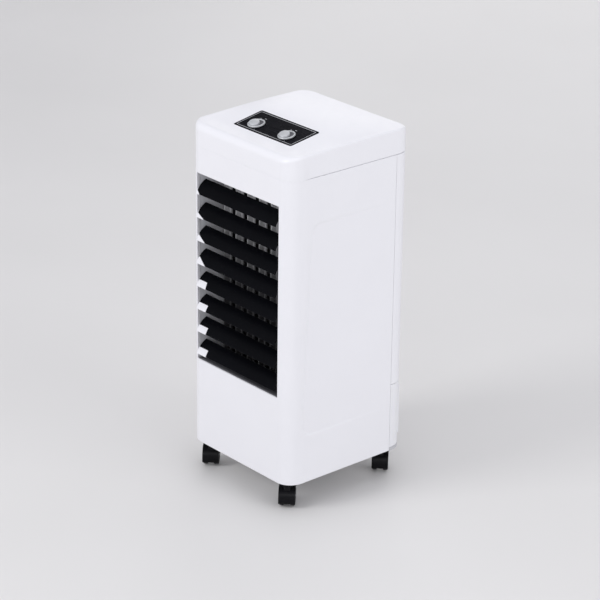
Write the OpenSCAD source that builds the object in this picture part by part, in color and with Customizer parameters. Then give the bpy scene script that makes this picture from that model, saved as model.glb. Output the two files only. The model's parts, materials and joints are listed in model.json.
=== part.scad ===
// Portable evaporative cooler: tower cabinet on four swivel casters.
// Z is up, the outlet louvres face -Y, and the origin is on the floor under the middle of the cabinet.

/* [Cabinet] */
// Width of the cabinet
body_w = 265; // [255:1:280]
// Depth from the louvre lips to the rear face
body_d = 268; // [262:1:280]
// Height of the top cap's side rims at the front
rim_front_z = 635.8; // [632:0.2:640]
// Height of the top cap's side rims at the rear
rim_rear_z = 639.4; // [636:0.2:642]
// Height of the lower edge of the cabinet
skirt_z = 51.6; // [48:0.1:54]
// Height of the joint between the cabinet and the top cap
seam_z = 596; // [594:1:600]
// Plan radius of the cabinet's vertical corners
corner_r = 30; // [22:1:34]
// Thickness of the moulded shells
wall = 2.6; // [2:0.1:3]
// Depth of the side panel's shallow recess at its front edge
side_recess = 1.2; // [0.4:0.1:1.4]

/* [Top cap] */
// Fillet radius along the front edge of the cap
front_fillet = 13; // [6:1:14]
// Fillet radius along the rear edge of the cap
rear_fillet = 11; // [4:1:12]
// Edge radius along the sides of the cap
side_fillet = 3.5; // [1:0.5:5]
// Slope of the control deck, lower at the front
deck_tilt = 10; // [6:1:12]

/* [Controls] */
// Width of the control plate
plate_w = 147; // [130:1:160]
// Depth of the control plate along its slope
plate_d = 63; // [55:1:66]
// Diameter of a control knob
knob_d = 30; // [24:1:34]
// Height of a control knob
knob_h = 9; // [6:0.5:12]
// Distance between the two knob axes
knob_gap = 77; // [60:1:84]

/* [Air outlet] */
// Half width of the outlet opening
outlet_half = 106; // [104:0.5:106]
// Distance of the outlet's middle from the cabinet's middle, to the left
outlet_shift = 4; // [2:0.5:4]
// Height of the lower edge of the outlet
outlet_z0 = 209; // [206:1:212]
// Height of the upper edge of the outlet
outlet_z1 = 549; // [546:1:550]
// Number of louvre blades
blade_count = 8; // [8:1:8]
// Vertical distance between louvre blades
blade_pitch = 41.8; // [41:0.1:42]
// Height of the lowest blade's front edge
blade_z0 = 220; // [219:0.5:221]
// Number of swing vanes
vane_count = 6; // [6:1:6]
// Distance between swing vanes
vane_pitch = 30.5; // [28:0.5:31]

/* [Blower] */
// Radius of the blower wheel
wheel_r = 56; // [50:1:56]
// Number of blades round the blower wheel
wheel_blades = 26; // [18:1:30]

/* [Water] */
// Height of the tank's floor
tank_z0 = 72; // [72:1:74]
// Height of the tank's rim
tank_z1 = 164; // [150:1:164]

/* [Casters] */
// Radius of a caster wheel
caster_r = 17.5; // [16:0.5:18]
// Distance from the swivel axis to the wheel axle
caster_trail = 7; // [6:1:9]
// Angle that all four casters are turned by, from wheels that roll front to back
caster_turn = 45; // [0:15:90]
// Sideways distance of the swivel axes from the centre
caster_x = 103; // [98:0.5:103]
// Front-to-back distance between the swivel axes
caster_span = 214; // [200:1:214]

/* [Hidden] */
$fn = 96;

rear_y = body_d / 2;
lip = 2.5;
front_y = -body_d / 2 + lip;
mid_y = (front_y + rear_y) / 2;
shell_d = rear_y - front_y;
half_w = body_w / 2;
split_y = 98.5;
gap = 0.3;
running = 0.05;

// Control deck frame, louvre blade arc and linkage sizes
deck_y = -52;
deck_z = 639;
knob_v = -10;
plate_t = 3.4;
plate_top = 0.2;
spigot_r = 3;
arc_c = [35.5, -14.5];
arc_r = 38.35;
blade_t = 2;
outlet_x0 = -outlet_half - outlet_shift;
outlet_x1 = outlet_half - outlet_shift;
blade_x0 = outlet_x0 + 1;
blade_x1 = outlet_x1 - 6.4;
pivot = [12, 10];
pin_r = 2;
link_r = 1.2;
blade_arm = 8;
vane_y = -86;
vane_arm = 10;
vane_t = 1.8;
vane_front = 13;
vane_back = 8.5;
duct_wall = 2;
duct_back = -74;

// Blower, water circuit and running gear sizes
wheel_x = 8;
shaft_r = 4;
housing_z0 = 203;
housing_z1 = 555;
end_plate_t = 3;
deck_t = 3;
deck_low = 178;
tank_x = 118;
tank_wall = 2.5;
panel_z0 = 58;
panel_z1 = 176.9;
window_x = 110;
window_z0 = 186;
window_z1 = 556;
gland_at = [80, 577];
gland_bore = 3.6;
hose_r = 4;
hose_bend = 10;
stem_r = 4;
axle_r = 2;
hood_r = 19.8;
hood_half = 14.5;
wheel_w = 8.2;
wheel_gap = 5.4;
caster_ys = [-1 - caster_span / 2, -1 + caster_span / 2];

// Rounded rectangle spanning x0..x1 and y0..y1
module rounded(x0, x1, y0, y1, r) {
  translate([x0 + r, y0]) square([x1 - x0 - 2 * r, y1 - y0]);
  translate([x0, y0 + r]) square([x1 - x0, y1 - y0 - 2 * r]);
  for (x = [x0 + r, x1 - r])
    for (y = [y0 + r, y1 - r])
      translate([x, y]) circle(r);
}

// Cabinet plan, drawn in from the outside by an inset
module plan(inset) {
  rounded(-half_w + inset, half_w - inset, front_y + inset, rear_y - inset, corner_r - inset);
}

// Upright slab of the cabinet plan
module slab(inset, z0, z1) {
  translate([0, 0, z0]) linear_extrude(z1 - z0) plan(inset);
}

// Everything behind (or in front of) a plane across the cabinet
module behind(y) { translate([-200, y, -10]) cube([400, 300, 700]); }
module ahead_of(y) { translate([-200, y - 300, -10]) cube([400, 300, 700]); }

// Box given by its corners
module box(x0, x1, y0, y1, z0, z1) {
  translate([x0, y0, z0]) cube([x1 - x0, y1 - y0, z1 - z0]);
}

// Cylinder along X and along Y
module rod_x(x0, x1, y, z, r) { translate([x0, y, z]) rotate([0, 90, 0]) cylinder(r = r, h = x1 - x0); }
module rod_y(y0, y1, x, z, r) { translate([x, y1, z]) rotate([90, 0, 0]) cylinder(r = r, h = y1 - y0); }

// Points along an arc in a plane
function arc_points(c, r, a0, a1, n) =
  [for (k = [0:n]) let(a = a0 + (a1 - a0) * k / n) [c[0] + r * cos(a), c[1] + r * sin(a)]];

// ---- Cabinet shells ----

// Side panel recess outline in Y and Z: a long panel with round front corners
recess_outline = concat(
  arc_points([-82, 158], 21, 270, 183, 8),
  arc_points([-66, 494], 22, 176, 90, 8),
  [[88, 516], [88, 137]]
);

// The recess is deepest at its front edge and runs out to nothing at the rear
module side_recess_cut() {
  slope = atan(side_recess / 190);
  for (side = [0, 1])
    mirror([side, 0, 0])
      translate([half_w, 88, 0])
        rotate([0, 0, -slope])
          translate([0, -88, 0])
            rotate([90, 0, 90])
              linear_extrude(8) polygon(recess_outline);
}

module front_shell() color("whitesmoke") {
  difference() {
    union() {
      difference() {
        slab(0, skirt_z, seam_z - 0.6);
        slab(wall, skirt_z - 1, seam_z);
        behind(split_y);
      }
      for (x = [-70, 70]) {
        translate([x, -121, 55.4]) cylinder(r = 5, h = 20);
        box(x - 2, x + 2, front_y + 1, -122, 55.4, 75.4);
      }
    }
    box(outlet_x0, outlet_x1, front_y - 5, front_y + 6, outlet_z0, outlet_z1);
    side_recess_cut();
    for (x = [-70, 70]) translate([x, -121, 50]) cylinder(r = 1.6, h = 22);
  }
}

module rear_shell() color("whitesmoke") {
  difference() {
    union() {
      difference() {
        slab(0, panel_z1 + 0.6, seam_z - 0.6);
        slab(wall, panel_z1, seam_z);
        ahead_of(split_y + 0.4);
      }
      difference() {
        box(-window_x - 2, window_x + 2, 114, rear_y - 1, window_z0 - 2, window_z1 + 2);
        box(-window_x, window_x, 110, rear_y, window_z0, window_z1);
      }
      intersection() {
        box(-124, 124, 115, rear_y, panel_z1 + 0.6, panel_z1 + 3);
        slab(1, panel_z1, panel_z1 + 5);
      }
    }
    box(-window_x, window_x, 110, rear_y + 1, window_z0, window_z1);
    rod_y(100, rear_y + 1, gland_at[0], gland_at[1], 6);
    rod_y(rear_y - 1.4, rear_y + 1, gland_at[0], gland_at[1], 10.2);
    for (x = [-50, 50]) {
      rod_y(120, rear_y + 1, x, 587, 1.8);
      rod_y(rear_y - 1.4, rear_y + 1, x, 587, 3.6);
    }
  }
}

// ---- Top cap: a crowned deck with a tilted front half, between level side rims ----

fillet_steps = 4;
front_edge_z = 635.5;
slope_start = -84;
crown_start = -25;
crown_end = 124;
crown_end_z = 638.2;
rim_rise = 1;

// Cubic from height z0 with slope m0 at y0 to height z1 with slope m1 at y1
function cubic(y, y0, z0, m0, y1, z1, m1) =
  let(len = y1 - y0, t = (y - y0) / len)
  z0 * (2 * pow(t, 3) - 3 * pow(t, 2) + 1) + m0 * len * (pow(t, 3) - 2 * pow(t, 2) + t)
  + z1 * (3 * pow(t, 2) - 2 * pow(t, 3)) + m1 * len * (pow(t, 3) - pow(t, 2));

// Height of the deck's centre line: a shallow dip, a straight slope and a crown down to the rear
function slope_z(y) = deck_z + (y - deck_y) * tan(deck_tilt);
function centre_z(y) =
  let(m = tan(deck_tilt), z1 = slope_z(slope_start))
  y < slope_start ? cubic(y, front_y, front_edge_z, -0.05, slope_start, z1, m) :
  y < crown_start ? slope_z(y) :
  cubic(y, crown_start, slope_z(crown_start), m, crown_end, crown_end_z, -0.08);

// Height of the side rims, and of the whole deck between them
function side_z(y) =
  let(t = (y - front_y) / shell_d)
  rim_front_z + (rim_rear_z - rim_front_z) * t + rim_rise * 4 * t * (1 - t);
function deck_height(x, y) =
  side_z(y) + (centre_z(y) - side_z(y)) * (1 - pow(abs(x) / half_w, 4));

// Fillet radius for an outline normal
function fillet_at(a) = side_fillet
  + (front_fillet - side_fillet) * pow(max(0, -sin(a)), 2)
  + (rear_fillet - side_fillet) * pow(max(0, sin(a)), 2);

// Stations round the plan: x, y and the outward normal's angle
function corner_stations(cx, cy, a0) =
  [for (k = [0:8]) let(a = a0 + k * 11.25) [cx + corner_r * cos(a), cy + corner_r * sin(a), a]];
function edge_stations(p, q, a) =
  [for (k = [1:5]) [p[0] + (q[0] - p[0]) * k / 6, p[1] + (q[1] - p[1]) * k / 6, a]];
in_x = half_w - corner_r;
in_rear = rear_y - corner_r;
in_front = front_y + corner_r;
stations = concat(
  corner_stations(in_x, in_rear, 0), edge_stations([in_x, rear_y], [-in_x, rear_y], 90),
  corner_stations(-in_x, in_rear, 90), edge_stations([-half_w, in_rear], [-half_w, in_front], 180),
  corner_stations(-in_x, in_front, 180), edge_stations([-in_x, front_y], [in_x, front_y], 270),
  corner_stations(in_x, in_front, 270), edge_stations([half_w, in_front], [half_w, in_rear], 360)
);

// One ring of the cap: t runs round the fillet from 0 to 90 degrees
function fillet_ring(t) = [for (s = stations)
  let(f = fillet_at(s[2]), n = [cos(s[2]), sin(s[2])],
      top = [s[0] - n[0] * f, s[1] - n[1] * f], d = f * (1 - cos(t)))
  [s[0] - n[0] * d, s[1] - n[1] * d, deck_height(top[0], top[1]) - f * (1 - sin(t))]];
function inner_ring(k) = [for (s = stations)
  let(f = fillet_at(s[2]), x = (s[0] - cos(s[2]) * f) * k, y = mid_y + (s[1] - sin(s[2]) * f - mid_y) * k)
  [x, y, deck_height(x, y)]];

module cap_solid() {
  inner = [0.86, 0.72, 0.58, 0.44, 0.3, 0.15];
  rings = concat(
    [[for (s = stations) [s[0], s[1], seam_z]]],
    [for (k = [0:fillet_steps]) fillet_ring(90 * k / fillet_steps)],
    [for (k = inner) inner_ring(k)]
  );
  n = len(stations);
  last = len(rings) - 1;
  points = concat([for (r = rings) for (p = r) p], [[0, mid_y, deck_height(0, mid_y)]]);
  faces = concat(
    [[for (i = [0:n - 1]) i]],
    [for (r = [0:last - 1]) for (i = [0:n - 1])
      let(a = r * n + i, b = r * n + (i + 1) % n) each [[a, a + n, b], [b, a + n, b + n]]],
    [for (i = [0:n - 1]) [last * n + i, (last + 1) * n, last * n + (i + 1) % n]]
  );
  polyhedron(points, faces);
}

// Places its children on the tilted control deck
module on_deck() { translate([0, deck_y, deck_z]) rotate([deck_tilt, 0, 0]) children(); }

module top_cap() color("white") {
  difference() {
    union() {
      difference() {
        cap_solid();
        slab(3, seam_z - 1, 613);
        box(-112, 112, -116, 116, 612, 620);
        box(-110, 110, -26, 112, 619, 634);
        difference() {
          slab(-1, seam_z - 1, seam_z + 0.9);
          slab(0.9, seam_z - 2, seam_z + 1);
          ahead_of(-96);
        }
      }
      box(-60, 60, 128.1, 131.1, 582, 606);
      box(-60, 60, 128.1, 132, 598, 606);
    }
    on_deck() {
      box(-plate_w / 2 - 0.15, plate_w / 2 + 0.15, -plate_d / 2 - 0.15, plate_d / 2 + 0.15,
          plate_top - plate_t, 20);
      box(-62, 62, -26, 20, -40, 1);
    }
    for (x = [-50, 50]) rod_y(120, 132.4, x, 587, 1.6);
  }
}

module base_pan() color("gainsboro") {
  difference() {
    union() {
      slab(wall + gap, skirt_z + 0.6, skirt_z + 3.6);
      intersection() {
        union() {
          slab(0, skirt_z, skirt_z + 3.6);
          difference() {
            slab(0, skirt_z, panel_z0 - 0.6);
            slab(wall, skirt_z, panel_z0);
          }
        }
        behind(split_y + 0.4);
      }
      for (x = [-90, 90]) box(x - 3, x + 3, -100, 96, skirt_z + 3, tank_z0 - gap);
      for (x = [-caster_x, caster_x])
        for (y = caster_ys)
          translate([x, y, skirt_z + 0.6]) cylinder(r = 9.5, h = 18);
      for (y = [-60, 0, 60]) box(-86, 86, y - 1.2, y + 1.2, skirt_z + 3, 66);
    }
    for (x = [-caster_x, caster_x])
      for (y = caster_ys) {
        translate([x, y, skirt_z - 1]) cylinder(r = 6, h = 18.6);
        translate([x, y, skirt_z - 1]) cylinder(r = 8.3, h = 3.2);
      }
    for (x = [-70, 70]) {
      translate([x, -121, 50]) cylinder(r = 1.8, h = 8);
      translate([x, -121, skirt_z]) cylinder(r = 3.6, h = 2);
    }
  }
}

module inner_deck() color("gainsboro") {
  difference() {
    slab(wall + gap, deck_low, deck_low + deck_t);
    behind(split_y - 0.5);
    box(-90, 90, 76, 94, deck_low - 1, deck_low + 5);
  }
}

module case_screws() color("silver") {
  for (x = [-50, 50]) {
    rod_y(rear_y - 1.4, rear_y - 0.1, x, 587, 3.4);
    rod_y(125, rear_y - 1.4, x, 587, 1.6);
  }
  for (x = [-70, 70]) {
    translate([x, -121, skirt_z + 0.7]) cylinder(r = 3.4, h = 1.3);
    translate([x, -121, skirt_z + 2]) cylinder(r = 1.6, h = 17);
  }
}

module cord_gland() color("dimgray") {
  difference() {
    union() {
      rod_y(rear_y - 1.4, rear_y, gland_at[0], gland_at[1], 10);
      rod_y(119, rear_y - 1.4, gland_at[0], gland_at[1], 5.95);
      rod_y(126.4, rear_y - wall - 0.1, gland_at[0], gland_at[1], 9);
    }
    rod_y(110, rear_y + 1, gland_at[0], gland_at[1], gland_bore);
  }
}

// ---- Controls ----

module control_plate() color([0.02, 0.02, 0.03]) {
  on_deck() difference() {
    translate([0, 0, plate_top - plate_t])
      linear_extrude(plate_t) rounded(-plate_w / 2, plate_w / 2, -plate_d / 2, plate_d / 2, 3);
    for (x = [-knob_gap / 2, knob_gap / 2])
      translate([x, knob_v, -10]) cylinder(r = spigot_r + 0.4, h = 20);
  }
}

// Border line, scale ticks and short label bars, standing a hair above the plate
module panel_print() color("silver") {
  on_deck() translate([0, 0, plate_top]) {
    linear_extrude(0.25) difference() {
      rounded(-plate_w / 2 + 4, plate_w / 2 - 4, -plate_d / 2 + 4, plate_d / 2 - 4, 2);
      rounded(-plate_w / 2 + 4.7, plate_w / 2 - 4.7, -plate_d / 2 + 4.7, plate_d / 2 - 4.7, 1.6);
    }
    for (x = [-knob_gap / 2, knob_gap / 2])
      translate([x, knob_v, 0])
        for (a = [30, 70, 110, 150])
          rotate([0, 0, a]) translate([17.5, -0.5, 0]) cube([3.5, 1, 0.25]);
    for (x = [-knob_gap / 2, knob_gap / 2])
      translate([x - 6, 21.5, 0]) cube([12, 1.2, 0.25]);
  }
}

module rotary_switches() color("gray") {
  on_deck() for (x = [-knob_gap / 2, knob_gap / 2])
    translate([x, knob_v, 0]) difference() {
      translate([-13, -13, -19]) cube([26, 26, 19 + plate_top - plate_t]);
      translate([0, 0, -20]) cylinder(r = spigot_r + running, h = 20);
    }
}

// Knob with a flared skirt, a raised grip bar and a spigot into its switch
module knob(x, turned) {
  r = knob_d / 2;
  on_deck() translate([x, knob_v, 0]) rotate([0, 0, turned]) {
    rotate_extrude() polygon(concat(
      [[0, 0.8], [r, 0.8], [r, 2.4]],
      arc_points([r - 2.6, 2.4], 2, 0, 90, 5),
      [[r - 3.6, knob_h - 4], [0, knob_h - 4]]
    ));
    intersection() {
      translate([0, 0, 2]) cylinder(r = r - 2.2, h = knob_h - 2);
      box(-r, r, -4, 4, 2, knob_h);
    }
    translate([0, 0, -16]) cylinder(r = spigot_r, h = 17.5);
  }
}

module speed_knob() color("silver") knob(-knob_gap / 2, 20);
module mode_knob() color("silver") knob(knob_gap / 2, 20);

// ---- Outlet: duct, louvre blades and swing vanes ----

function blade_z(i) = blade_z0 + (blade_count - i) * blade_pitch;
function vane_x(i) = (i - (vane_count + 1) / 2) * vane_pitch;
pivot_y = -body_d / 2 + pivot[0];

module outlet_duct() color("lightgray") {
  difference() {
    intersection() {
      box(outlet_x0 - duct_wall, outlet_x1 + duct_wall, front_y + wall, duct_back,
          outlet_z0 - duct_wall, outlet_z1 + duct_wall);
      slab(wall, outlet_z0 - 5, outlet_z1 + 5);
    }
    box(outlet_x0, outlet_x1, front_y, duct_back + 5, outlet_z0, outlet_z1);
    for (i = [1:blade_count])
      rod_x(outlet_x0 - 5, outlet_x1 + 5, pivot_y, blade_z(i) + pivot[1], pin_r + running);
    for (i = [1:vane_count])
      translate([vane_x(i), vane_y, outlet_z0 - 5])
        cylinder(r = pin_r + running, h = outlet_z1 - outlet_z0 + 10);
  }
}

// Curved louvre plate with an end lug, a pivot pin at each end and one link pin
module louvre_blade(i) color([0.03, 0.03, 0.04]) {
  translate([0, -body_d / 2, blade_z(i)]) {
    translate([blade_x0, 0, 0]) rotate([90, 0, 90]) linear_extrude(blade_x1 - blade_x0)
      intersection() {
        difference() {
          translate(arc_c) circle(arc_r);
          translate(arc_c) circle(arc_r - blade_t);
        }
        polygon([arc_c, arc_c + 60 * [cos(157.8), sin(157.8)], arc_c + 75 * [cos(135), sin(135)],
                 arc_c + 60 * [cos(112.2), sin(112.2)]]);
      }
    rod_x(blade_x0, blade_x0 + 2.5, pivot[0], pivot[1], 4.5);
    rod_x(blade_x1 - 2.5, blade_x1, pivot[0], pivot[1], 4.5);
    rod_x(blade_x1 - 2.5, blade_x1, pivot[0] + blade_arm, pivot[1], 3);
    box(blade_x1 - 2.5, blade_x1, pivot[0], pivot[0] + blade_arm, pivot[1] - 2, pivot[1] + 2);
    rod_x(outlet_x0 - 1.8, blade_x0 + 1, pivot[0], pivot[1], pin_r);
    rod_x(blade_x1 - 1, outlet_x1 + 1.8, pivot[0], pivot[1], pin_r);
    rod_x(blade_x1 - 1, blade_x1 + 3.8, pivot[0] + blade_arm, pivot[1], link_r);
  }
}

module louvre_link() color([0.03, 0.03, 0.04]) {
  y = pivot_y + blade_arm;
  low = blade_z(blade_count) + pivot[1] - 6;
  high = blade_z(1) + pivot[1] + 6;
  difference() {
    box(blade_x1 + 0.6, blade_x1 + 3.2, y - 4.4, y + 3, low, high);
    for (i = [1:blade_count])
      translate([blade_x1 - 1, y, blade_z(i) + pivot[1]]) rotate([90, 0, 90])
        linear_extrude(6) rounded(-3.4, 1.6, -1.6, 1.6, 1.55);
  }
}

// Flat vane on a pivot at each end, with a crank arm above the duct
module swing_vane(i) color([0.05, 0.05, 0.06]) {
  z0 = outlet_z0 + 1.5;
  z1 = outlet_z1 - 1.5;
  translate([vane_x(i), vane_y, 0]) {
    translate([0, 0, z0]) linear_extrude(z1 - z0) {
      translate([-vane_t / 2, -vane_front]) square([vane_t, vane_front + vane_back]);
      translate([0, -vane_front]) circle(vane_t / 2);
      translate([0, vane_back]) circle(vane_t / 2);
      circle(3);
    }
    translate([0, 0, outlet_z0 - 1.8]) cylinder(r = pin_r, h = 4);
    translate([0, 0, z1 - 1]) cylinder(r = pin_r, h = outlet_z1 + duct_wall + 1.6 - z1);
    translate([0, 0, outlet_z1 + duct_wall + 0.3]) cylinder(r = 3.6, h = 1.6);
    box(-1.8, 1.8, -vane_arm, 0, outlet_z1 + duct_wall + 0.3, outlet_z1 + duct_wall + 1.9);
    translate([0, -vane_arm, outlet_z1 + duct_wall + 0.3]) cylinder(r = link_r, h = 5.9);
    translate([0, -vane_arm, outlet_z1 + duct_wall + 0.3]) cylinder(r = 2.6, h = 1.6);
  }
}

module vane_link() color("dimgray") {
  y = vane_y - vane_arm;
  difference() {
    box(vane_x(1) - 7, vane_x(vane_count) + 7, y - 3.4, y + 4.4, 553.6, 556.6);
    for (i = [1:vane_count])
      translate([vane_x(i), y, 550]) linear_extrude(10) rounded(-1.65, 1.65, -1.6, 2.9, 1.6);
  }
}

// Slow synchronous motor with its mounting ears and posts
swing_at = [60, -96];
module swing_motor() color("silver") {
  translate([swing_at[0], swing_at[1], 0]) {
    translate([0, 0, 566]) difference() {
      cylinder(r = 18, h = 18);
      translate([0, 0, -1]) cylinder(r = 2 + running, h = 9);
    }
    for (y = [-21.5, 18]) {
      box(-4, 4, y < 0 ? y : 15, y < 0 ? -15 : y, 566, 568);
      translate([0, y, outlet_z1 + duct_wall]) cylinder(r = 3.5, h = 568 - outlet_z1 - duct_wall);
    }
  }
}

module swing_crank() color("ivory") {
  translate([swing_at[0], swing_at[1], 0]) {
    translate([0, 0, 561]) cylinder(r = 9, h = 4);
    translate([0, 0, 564]) cylinder(r = 2, h = 9);
    translate([5, 0, 557.4]) cylinder(r = 1.5, h = 4);
  }
}

// ---- Blower ----

module housing_plate() {
  polygon([[-106, -73.9], [106, -73.9], [106, 30], [80, 66], [-80, 66], [-106, 30]]);
}

// End plates, scroll wall and tongue round the blower wheel, standing on four legs
module blower_housing() color("lightgray") {
  inner = wheel_r + 6;
  difference() {
    union() {
      translate([0, 0, housing_z0]) linear_extrude(end_plate_t) housing_plate();
      translate([0, 0, housing_z1 - end_plate_t]) linear_extrude(end_plate_t) housing_plate();
      translate([0, 0, housing_z0 + 1]) linear_extrude(housing_z1 - housing_z0 - 2) {
        intersection() {
          translate([wheel_x, 0]) difference() {
            circle(inner + 2.2);
            circle(inner);
          }
          polygon([[wheel_x, 0], [-80, 0], [-80, 80], [wheel_x - 14, 80]]);
        }
        polygon([[wheel_x - inner - 2.2, 2], [wheel_x - inner, 2], [wheel_x - inner, -2],
                 [-103.8, -73.9], [-106, -73.9], [-106, -70]]);
        polygon([[103.8, -73.9], [106, -73.9], [106, -68], [74, -12], [69, -12], [72, -20]]);
        translate([71.5, -12]) circle(2.5);
      }
      for (p = [[-96, -64], [96, -64], [-74, 52], [74, 52]])
        translate([p[0], p[1], deck_low + deck_t]) cylinder(r = 5, h = housing_z0 - deck_low - deck_t + 1);
    }
    translate([wheel_x, 0, housing_z0 - 1]) cylinder(r = shaft_r + 1, h = 400);
  }
}

module blower_wheel() color("dimgray") {
  translate([wheel_x, 0, 0]) difference() {
    union() {
      for (z = [213, 376, 541]) translate([0, 0, z]) cylinder(r = wheel_r, h = 3);
      for (k = [0:wheel_blades - 1])
        rotate([0, 0, k * 360 / wheel_blades])
          translate([wheel_r - 7, 0, 214]) rotate([0, 0, 28])
            translate([-5.5, -0.6, 0]) cube([11, 1.2, 328]);
      translate([0, 0, 215]) cylinder(r = 9, h = 12);
      translate([0, 0, 530]) cylinder(r = 9, h = 12);
    }
    translate([0, 0, 200]) cylinder(r = shaft_r, h = 360);
  }
}

module blower_shaft() color("silver") {
  translate([wheel_x, 0, 207]) cylinder(r = shaft_r, h = 368);
}

module lower_bearing() color("goldenrod") {
  translate([wheel_x, 0, housing_z0 + end_plate_t]) difference() {
    cylinder(r = 12, h = 6);
    translate([0, 0, -1]) cylinder(r = shaft_r + running, h = 10);
  }
}

module motor_bracket() color("slategray") {
  translate([wheel_x, 0, housing_z1]) difference() {
    union() {
      cylinder(r = 42, h = 2.5);
      for (a = [45:90:315]) rotate([0, 0, a]) box(30, 52, -7, 7, 0, 2.4);
    }
    translate([0, 0, -1]) cylinder(r = 14, h = 5);
  }
}

module fan_motor() color("silver") {
  translate([wheel_x, 0, 0]) difference() {
    union() {
      translate([0, 0, housing_z1 + 2.5]) cylinder(r = 40, h = 30);
      translate([0, 0, 586]) cylinder(r = 24, h = 6);
      translate([0, 0, housing_z1 + 0.4]) cylinder(r = 13, h = 4);
    }
    translate([0, 0, 550]) cylinder(r = shaft_r + running, h = 28);
  }
}

module terminal_box() color("ivory") {
  difference() {
    box(-100, -62, -30, 24, housing_z1, 583);
    box(-97, -65, -27, 21, housing_z1 + 3, 590);
  }
  box(-94, -68, -20, 14, housing_z1 + 3, 575);
}

// ---- Water circuit ----

module water_tank() color([0.93, 0.94, 0.96]) {
  difference() {
    union() {
      box(-tank_x, tank_x, -108, rear_y - 1, tank_z0, tank_z1);
      difference() {
        slab(0, panel_z0, panel_z1);
        slab(wall, panel_z0 - 1, panel_z1 + 1);
        ahead_of(split_y + 0.4);
      }
    }
    difference() {
      box(-tank_x + tank_wall, tank_x - tank_wall, -108 + tank_wall, 129, tank_z0 + tank_wall, tank_z1 + 1);
      box(-47.5, 47.5, 117, 140, 128, 158);
    }
    box(-45, 45, 119.5, 140, 130.5, 155.5);
    box(88, 98, 125, 140, 84, 150);
    translate([40, 40, tank_z0 - 1]) cylinder(r = 6, h = 5);
  }
}

module level_window() color([0.7, 0.8, 0.85]) box(88, 98, 129.4, rear_y - 0.4, 84, 150);

module drain_plug() color("dimgray") {
  translate([40, 40, 0]) {
    translate([0, 0, tank_z0 - 4]) cylinder(r = 9, h = 4);
    translate([0, 0, tank_z0]) cylinder(r = 6, h = 4);
  }
}

pump_x = -72;
pump_y = 104;
module water_pump() color([0.15, 0.15, 0.17]) {
  difference() {
    box(-100, -60, 72, 112, 77, 109);
    for (x = [-94:6:-70]) box(x, x + 3, 70, 76, 80, 92);
  }
  translate([-86, 88, 108]) cylinder(r = 12, h = 8);
  translate([pump_x, pump_y, 108]) cylinder(r = hose_r, h = 10);
  box(-98, -84, 72, 75, 105, deck_low);
  box(-98, -84, 72, 76, deck_low - 3, deck_low);
}

// A straight run of hose and a quarter bend, of a given radius
module bend(r) rotate_extrude(angle = 90) translate([hose_bend, 0]) circle(r);
module hose_run(r, over) {
  low = 171;
  high = 568;
  left = -121;
  translate([pump_x, pump_y, 118 - over]) cylinder(r = r, h = low - hose_bend - 118 + over);
  translate([pump_x - hose_bend, pump_y, low - hose_bend]) rotate([90, 0, 0]) bend(r);
  rod_x(left + hose_bend, pump_x - hose_bend, pump_y, low, r);
  translate([left + hose_bend, pump_y, low + hose_bend]) rotate([90, 180, 0]) bend(r);
  translate([left, pump_y, low + hose_bend]) cylinder(r = r, h = high - low - 2 * hose_bend);
  translate([left + hose_bend, pump_y, high - hose_bend]) rotate([90, -90, 0]) bend(r);
  rod_x(left + hose_bend, -100 + over, pump_y, high, r);
}

module pump_hose() color("lightgray") {
  difference() {
    hose_run(hose_r, 0);
    hose_run(hose_r - 1.2, 1);
  }
}

module water_distributor() color("gainsboro") {
  difference() {
    box(-100, 100, 80, 112, 560, 578);
    box(-97.5, 97.5, 82.5, 109.5, 562, 580);
    for (x = [-90:20:90]) translate([x, 96, 558]) cylinder(r = 1.5, h = 6);
    rod_x(-102, -96, pump_y, 568, hose_r - 1.2);
  }
}

module cooling_pad() color("tan") box(-100, 100, 80, 110, 192, 545);

module pad_frame() color("gainsboro") {
  difference() {
    box(-104, 104, 77, 113, 188, 549);
    box(-100, 100, 70, 120, 192, 545);
  }
  for (x = [-34, 34]) box(x - 1.5, x + 1.5, 77, 80, 191, 546);
}

module rear_grille() color("whitesmoke") {
  difference() {
    box(-window_x + 0.4, window_x - 0.4, 118, rear_y, window_z0 + 0.4, window_z1 - 0.4);
    box(-103, 103, 110, rear_y + 1, 194, 548);
    box(-25, 25, 126, rear_y + 1, 180, 192);
  }
  for (x = [-104.5, 104.5]) for (z = [230, 500]) box(x - 2, x + 2, 113, 119, z, z + 16);
  for (k = [0:21])
    translate([-104, 127, 201 + k * 16.2]) rotate([-38, 0, 0])
      translate([0, -6.5, -0.9]) cube([208, 13, 1.8]);
  for (x = [-51.5, 0, 51.5]) box(x - 1.5, x + 1.5, 119, 131, 193, 549);
}

// ---- Casters ----

// Steel bushes pressed into the base, each with a flange let into its underside
module caster_sockets() color("silver") {
  for (x = [-caster_x, caster_x])
    for (y = caster_ys)
      translate([x, y, 0]) difference() {
        union() {
          translate([0, 0, skirt_z + 0.8]) cylinder(r = 6, h = 16.4);
          translate([0, 0, skirt_z + 0.8]) cylinder(r = 8, h = 1.4);
        }
        translate([0, 0, skirt_z - 3]) cylinder(r = stem_r + running, h = 19);
      }
}

// Places its children on a caster's swivel axis, with the axle along X and the wheels behind it
module on_caster(x, y) {
  translate([x * caster_x, caster_ys[y], 0]) rotate([0, 0, caster_turn]) children();
}

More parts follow.
